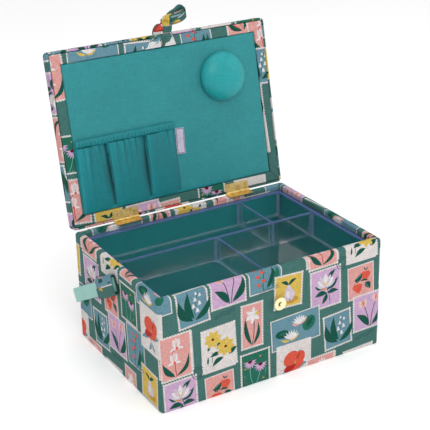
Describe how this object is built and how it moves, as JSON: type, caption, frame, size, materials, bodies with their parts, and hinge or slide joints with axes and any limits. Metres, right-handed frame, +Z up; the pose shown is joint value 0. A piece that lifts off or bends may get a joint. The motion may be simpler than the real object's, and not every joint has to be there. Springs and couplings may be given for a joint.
{
  "type": "sewing box",
  "caption": "Fabric-covered sewing box with a padded hinged lid held open, a lift-out divided tray, a pincushion, an elastic pocket, a strap handle and a loop-and-button catch.",
  "frame": {"origin": "middle of the flat rest face under the case", "axes": "+Z up, +X to the right seen from the front, +Y to the back; the lid is hinged along the back and stands open"},
  "size_m": [0.2724, 0.2451, 0.3549],
  "materials": {
    "printed_cotton": "printed woven cotton, teal green ground",
    "satin": "teal satin",
    "board": "dense grey board",
    "foam": "thin polyester wadding",
    "brass": "pale plated, bright",
    "clear_plastic": "clear moulded, glossy",
    "strap": "soft mint plastic strap",
    "button": "pale gold, satin",
    "label": "woven satin ribbon, blank",
    "elastic": "woven elastic",
    "base_cloth": "plain backing cloth",
    "steel": "plated"
  },
  "bodies": {
    "case": {"base_board": "board", "base_cloth": "base_cloth", "left_board": "board", "right_board": "board", "front_board": "board", "back_board": "board", "case_cover": "printed_cotton", "rim_pad": "foam", "floor_lining": "satin", "left_lining": "satin", "right_lining": "satin", "front_lining": "satin", "back_lining": "satin", "left_hinge_rim_leaf": "brass", "right_hinge_rim_leaf": "brass", "rim_hinge_rivets": "brass", "left_hinge_pin": "brass", "right_hinge_pin": "brass", "left_handle_rivet": "steel", "right_handle_rivet": "steel"},
    "lid": {"lid_board": "board", "lid_cover": "printed_cotton", "lid_rear_rail": "printed_cotton", "lid_front_rail": "printed_cotton", "lid_left_rail": "printed_cotton", "lid_right_rail": "printed_cotton", "lid_wadding": "foam", "lid_lining": "satin", "pincushion": "satin", "pocket": "satin", "pocket_casing": "satin", "pocket_elastic": "elastic", "blank_label": "label", "left_hinge_lid_leaf": "brass", "right_hinge_lid_leaf": "brass", "lid_hinge_rivets": "brass", "loop_tail": "printed_cotton"},
    "loop": {"button_loop": "printed_cotton"},
    "tray": {"tray": "clear_plastic"},
    "handle": {"handle_strap": "strap", "left_sleeve": "printed_cotton", "right_sleeve": "printed_cotton"},
    "button": {"button": "button", "button_shank": "button"}
  },
  "joints": [
    {"name": "lid_hinge", "type": "hinge", "parent": "case", "child": "lid", "pos_m": [0, 0.093, 0.1228], "axis": [1, 0, 0], "range_deg": [0, 101.8]},
    {"name": "tray_lift", "type": "slide", "parent": "case", "child": "tray", "axis": [0, 0, -1], "range_m": [-0.09, 0]},
    {"name": "handle_swing", "type": "hinge", "parent": "case", "child": "handle", "pos_m": [0, 0, 0.1], "axis": [1, 0, 0], "range_deg": [0, 36]},
    {"name": "loop_fold", "type": "hinge", "parent": "lid", "child": "loop", "pos_m": [0.002, 0.13178, 0.30696], "axis": [1, 0, 0], "range_deg": [-70, 50]},
    {"name": "button_turn", "type": "hinge", "parent": "case", "child": "button", "pos_m": [0.002, -0.0955, 0.0847], "axis": [0, 1, 0], "range_deg": [-180, 180]}
  ]
}
